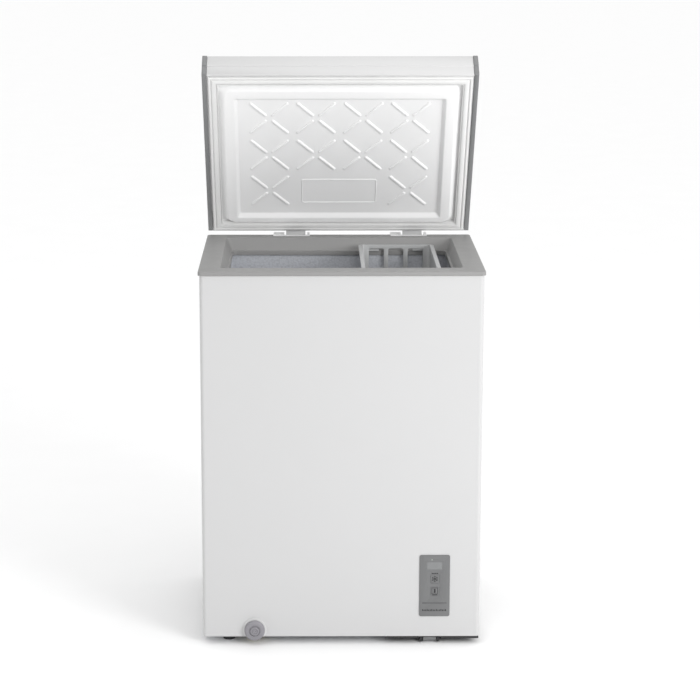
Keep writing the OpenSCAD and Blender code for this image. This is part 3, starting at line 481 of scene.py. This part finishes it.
def panel_mesh():
    """The lid's inside sheet: its edge, the raised ring and the plain field within."""
    rings = [rect_ring(PANEL, plate_z + 2, 3), rect_ring(PANEL, lid_z + 1.8, 3),
             rect_ring(inset(PANEL, 0.4), lid_z + 1.4, 2.6),
             rect_ring(inset(PANEL, 1.0), lid_z + 1.6, 2.2),
             rect_ring(inset(PANEL, 1.4), plate_z - 1, 2),
             rect_ring(inset(PANEL, 2.2), plate_z, 2),
             rect_ring(inset(RING_BASE, -1.5), plate_z, 18)]
    for t, s in ((0.0, 0.06), (0.25, 0.2), (0.5, 0.5), (0.75, 0.8), (0.92, 0.95)):
        rings.append(rect_ring(lerp_rect(RING_BASE, RING_OUT, t),
                               plate_z + (ring_z - plate_z) * s, 18))
    rings += [rect_ring(RING_OUT, ring_z + 0.15, 17), rect_ring(inset(RING_OUT, 2), ring_z, 16),
              rect_ring(inset(RING_IN, -2), ring_z, 6),
              rect_ring(RING_IN, ring_z + 0.2, 5)]
    for t, s in ((0.1, 0.08), (0.5, 0.5), (0.9, 0.92)):
        rings.append(rect_ring(lerp_rect(RING_IN, FIELD, t),
                               ring_z + (field_z - ring_z) * s, 4))
    rings += [rect_ring(FIELD, field_z - 0.1, 3), rect_ring(inset(FIELD, 1.5), field_z, 2)]
    return loft(rings, move=LID)


RIB_PITCH = (98.0, 100.0)
RIB_FIRST = (-147.0, lid_back - 310.0)
RIB_W, RIB_H = 7.0, 2.9
RIB_SPAN = (0.16, 0.765)


def rib_mesh(centre, angle):
    """One raised bar with round ends and a domed back, from near a crossing outwards."""
    reach = math.hypot(*RIB_PITCH) / 2
    turn = (LID @ Matrix.Translation((*centre, 0)) @ Matrix.Rotation(angle, 4, "Z"))
    x0, x1 = reach * RIB_SPAN[0], reach * RIB_SPAN[1]
    rings = []
    for grow, drop in ((0.4, -0.4), (0.0, 0.3), (-0.6, 1.5), (-1.4, 2.4), (-2.3, RIB_H)):
        half = RIB_W / 2 + grow
        rings.append(ring((x0 - half, x1 + half), (-half, half), field_z - drop, half * 0.999, 5))
    return loft(rings, move=turn)


def ribs():
    """Crosses in four columns and three rows, without the two where the label is."""
    lean = math.atan2(RIB_PITCH[1], RIB_PITCH[0])
    out = []
    for i in range(4):
        for j in range(3):
            if j == 2 and i in (1, 2):
                continue
            centre = (RIB_FIRST[0] + i * RIB_PITCH[0], RIB_FIRST[1] + j * RIB_PITCH[1])
            for angle in (lean, math.pi - lean, math.pi + lean, -lean):
                out.append(rib_mesh(centre, angle))
    return out


def label_frame():
    """The thin raised outline below the middle of the lattice."""
    profile = ((0, 0.4), (0.2, -0.9), (1.1, -1.4), (2.0, -0.9), (2.2, 0.4))
    return loft([rect_ring(inset(LABEL, d), field_z + z, 4, 4) for d, z in profile],
                around=True, move=LID)


inner_panel = piece("lid_inner_moulding", merge([panel_mesh()] + ribs() + [label_frame()]),
                    "lid", "white_plastic")
autosmooth(inner_panel, 50)
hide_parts("lid_inner_panel")

GASKET = (inner_half - 2, lid_front + 10.2, lid_back - 3)
gasket_tip = top + 0.3


def gasket_mesh():
    """Soft seal: an outer bead, a groove, the wide middle bead, and a thin inner lip."""
    outline = [(0.2, plate_z), (0.0, gasket_tip + 3.4), (1.0, gasket_tip + 1.0),
               (3.4, gasket_tip + 0.4), (5.6, gasket_tip + 1.4), (6.4, gasket_tip + 3.4),
               (7.4, gasket_tip + 1.2), (9.0, gasket_tip + 0.1), (15.2, gasket_tip + 0.1),
               (16.8, gasket_tip + 0.9), (17.5, gasket_tip + 3.2), (18.1, gasket_tip + 3.2),
               (18.6, gasket_tip + 1.2), (19.2, gasket_tip + 1.2), (19.7, gasket_tip + 3),
               (19.7, plate_z)]
    rings = [rect_ring(inset(GASKET, d), z, 1.2, 3) for d, z in outline]
    return loft(rings, around=True, move=LID)


gasket = piece("lid_seal", gasket_mesh(), "lid", "gasket_pvc")
autosmooth(gasket, 60)
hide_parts("lid_gasket")


# ---- Drain knob ----

drain_low, drain_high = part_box("drain_cap")
escutcheon_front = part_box("drain_escutcheon")[0][1]
KNOB_GAP = 0.3
drain_centre = Vector(((drain_low[0] + drain_high[0]) / 2, escutcheon_front - KNOB_GAP * MM,
                       (drain_low[2] + drain_high[2]) / 2))
knob_r = (drain_high[0] - drain_low[0]) / 2 / MM
KNOB_PROFILE = [(9.9, -12), (10, 0), (knob_r - 1.5, 0), (knob_r - 0.4, 0.6), (knob_r, 1.8),
                (knob_r, 6.2), (knob_r - 0.5, 7.6), (knob_r - 1.6, 8.6), (18, 9.0), (12.2, 9.3),
                (11.4, 9.1), (11.0, 8.4), (10.4, 7.9), (9.2, 7.9), (8.8, 8.4), (8.6, 11.2),
                (8.0, 11.9), (7.2, 12.2), (6.2, 12.1), (5.7, 11.3), (5.2, 10.9), (4.6, 11.0),
                (4.2, 11.6), (3.4, 11.9), (2.2, 11.8), (1.6, 11.1), (1.0, 10.8), (0.3, 10.8)]
knob = piece("drain_knob", lathe(KNOB_PROFILE, drain_centre), "drain_cap", "knob_plastic")
autosmooth(knob, 40)
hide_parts("drain_cap")


# ---- Signs on the control panel: generic marks, no lettering ----

panel_front = (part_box("control_bezel")[0][1] - collar_front) / MM
MARK_DEPTHS = (panel_front + 0.02, panel_front - 0.12)
MARK_CORNER = 0.2


def plate(x, z):
    """A thin flat mark on the panel, x and z as pairs in millimetres."""
    flat = ring(x, z, 0, MARK_CORNER, 2)
    return loft([[Vector((p.x, y, p.y)) for p in flat] for y in MARK_DEPTHS], move=SEAT)


def bar(start, length, width, angle):
    """A thin straight stroke that starts at a point and runs off at an angle."""
    ux, uz = math.cos(angle), math.sin(angle)
    half = width / 2
    corners = ((0, -half), (length, -half), (length, half), (0, half))
    return loft([[Vector((start[0] + ux * a - uz * b, y, start[1] + uz * a + ux * b))
                  for a, b in corners] for y in MARK_DEPTHS], move=SEAT)


def outline_box(x, z, width):
    """Four plates around a rectangle."""
    return [plate(x, (z[0], z[0] + width)), plate(x, (z[1] - width, z[1])),
            plate((x[0], x[0] + width), z), plate((x[1] - width, x[1]), z)]


def middle(node):
    """The x and z of a node's middle, in millimetres."""
    low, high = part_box(node)
    return ((low[0] + high[0]) / 2 / MM, (low[2] + high[2]) / 2 / MM)


def snow_crystal(at):
    """Six arms, each with two twigs."""
    arm, fork, twig = 6.6, 3.9, 2.4
    strokes = []
    for i in range(6):
        a = math.pi / 6 + i * math.pi / 3
        strokes.append(bar(at, arm, 1.0, a))
        tip = (at[0] + fork * math.cos(a), at[1] + fork * math.sin(a))
        for side in (-1, 1):
            strokes.append(bar(tip, twig, 0.8, a + side * math.pi / 3.6))
    return strokes


def appliance(at):
    """An upright outline with a bar inside, over a short base line."""
    x, z = at
    return (outline_box((x - 6.2, x + 6.2), (z - 6.0, z + 7.5), 0.9)
            + [plate((x - 1.6, x + 1.6), (z - 3.5, z + 5.0)),
               plate((x - 5.0, x + 5.0), (z - 8.4, z - 6.9))])


for node, marks in (("button_upper", snow_crystal(middle("button_upper"))),
                    ("button_lower", appliance(middle("button_lower")))):
    piece(node + "_sign", merge(marks), node, "panel_plastic", INK)

bezel_x, bezel_z = middle("control_bezel")
upper_z = middle("button_upper")[1]
TICK_PITCH, TICK_W, TICK_FOOT = 3.1, 1.8, 53.6
DASH_PITCH, DASH_W = 3.4, 2.6
marks = [plate((bezel_x - 25, bezel_x + 25), (bezel_z - 37, bezel_z - 36))]
for i in range(16):
    x = bezel_x - 24.6 + i * TICK_PITCH
    tick_h = 3.2 if i % 3 else 4.0
    marks.append(plate((x, x + TICK_W), (bezel_z - TICK_FOOT, bezel_z - TICK_FOOT + tick_h)))
for i in range(4):
    x = bezel_x - 6 + i * DASH_PITCH
    marks.append(plate((x, x + DASH_W), (upper_z + 10.6, upper_z + 12.8)))
piece("panel_marks", merge(marks), "cabinet", "panel_plastic", INK)


# ---- CAD nodes that only need rounded edges ----

for node, width in (("lid_front_rail", 0.9), ("lid_side_trim_left", 0.8),
                    ("lid_side_trim_right", 0.8), ("lid_top_skin", 0.8),
                    ("hinge_cover_left", 1.0), ("hinge_cover_right", 1.0), ("basket", 0.9),
                    ("control_bezel", 0.6), ("button_upper", 0.3), ("button_lower", 0.3),
                    ("roller_brackets", 0.5), ("side_vent", 0.5), ("rear_grille", 0.4),
                    ("drain_escutcheon", 0.8), ("base_pan", 0.4), ("foot_front", 0.8),
                    ("foot_rear", 0.8), ("hinge_arm_left", 0.4), ("hinge_arm_right", 0.4),
                    ("cord_inlet_gland", 0.8), ("start_relay_cover", 1.5),
                    ("control_board_box", 1.0)):
    refined(node, width * MM)

# These two get a grey duller than their slot's white: painted shade that makes them as dim as the cabinet's enamel
for node in ("drain_escutcheon", "side_vent"):
    paint(bpy.data.objects[node + "_finish"], MATERIALS["rail_plastic"])


# ---- Floor, light and camera ----

FLOOR_HALF = 60.0
SKY_OVERHEAD, SKY_LEVEL = 1.42, 0.36
KEY_PLACE, KEY_TARGET, KEY_SIZE, KEY_WATTS = (2.0, -2.5, 1.5), (0, 0, 0.8), (1.2, 1.2), 54
SENSOR, LENS, SHIFT = 36, 108.73, (0.0435, -0.075)
CAMERA_X, CAMERA_AWAY, CAMERA_Z = -0.0677, 4.0726, 1.5392
CAMERA_DOWN, CAMERA_TURN = 11.386, 0.334


def floor():
    """A plain pale square at height zero."""
    half = FLOOR_HALF
    mesh = bpy.data.meshes.new("floor")
    mesh.from_pydata([(-half, -half, 0), (half, -half, 0), (half, half, 0), (-half, half, 0)],
                     [], [(0, 1, 2, 3)])
    obj = bpy.data.objects.new("floor", mesh)
    bpy.context.scene.collection.objects.link(obj)
    paint(obj, moulded("floor paint", (0.93, 0.93, 0.93), 0.85, 40, 0.0001, 0.005))
    obj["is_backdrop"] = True


def area_light(name, place, target, size, power):
    """A soft light that faces a target."""
    light = bpy.data.lights.new(name, "AREA")
    light.shape = "RECTANGLE"
    light.size, light.size_y = size
    light.energy = power
    obj = bpy.data.objects.new(name, light)
    bpy.context.scene.collection.objects.link(obj)
    obj.location = place
    obj.rotation_mode = "QUATERNION"
    obj.rotation_quaternion = (Vector(target) - Vector(place)).to_track_quat("-Z", "Y")


def sky(overhead, level):
    """White surroundings, brighter overhead than at eye level."""
    world = bpy.data.worlds.new("studio")
    world.use_nodes = True
    tree = world.node_tree
    back = tree.nodes["Background"]
    back.inputs["Color"].default_value = (1, 1, 1, 1)
    where = tree.nodes.new("ShaderNodeTexCoord")
    split = tree.nodes.new("ShaderNodeSeparateXYZ")
    tree.links.new(where.outputs["Generated"], split.inputs["Vector"])
    spread(tree, split.outputs["Z"], level, overhead, back.inputs["Strength"])
    bpy.context.scene.world = world


def camera():
    """From above the collar, a little left of the middle, looking down at the front."""
    data = bpy.data.cameras.new("camera")
    data.sensor_width = SENSOR
    data.lens = LENS
    data.shift_x, data.shift_y = SHIFT
    data.clip_end = 200
    obj = bpy.data.objects.new("camera", data)
    bpy.context.scene.collection.objects.link(obj)
    obj.location = (CAMERA_X, collar_front - CAMERA_AWAY, CAMERA_Z)
    obj.rotation_euler = (math.radians(90 - CAMERA_DOWN), 0, math.radians(-CAMERA_TURN))
    bpy.context.scene.camera = obj


floor()
sky(SKY_OVERHEAD, SKY_LEVEL)
area_light("key", KEY_PLACE, KEY_TARGET, KEY_SIZE, KEY_WATTS)
camera()
bpy.context.scene.view_settings.view_transform = "Standard"

low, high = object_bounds()
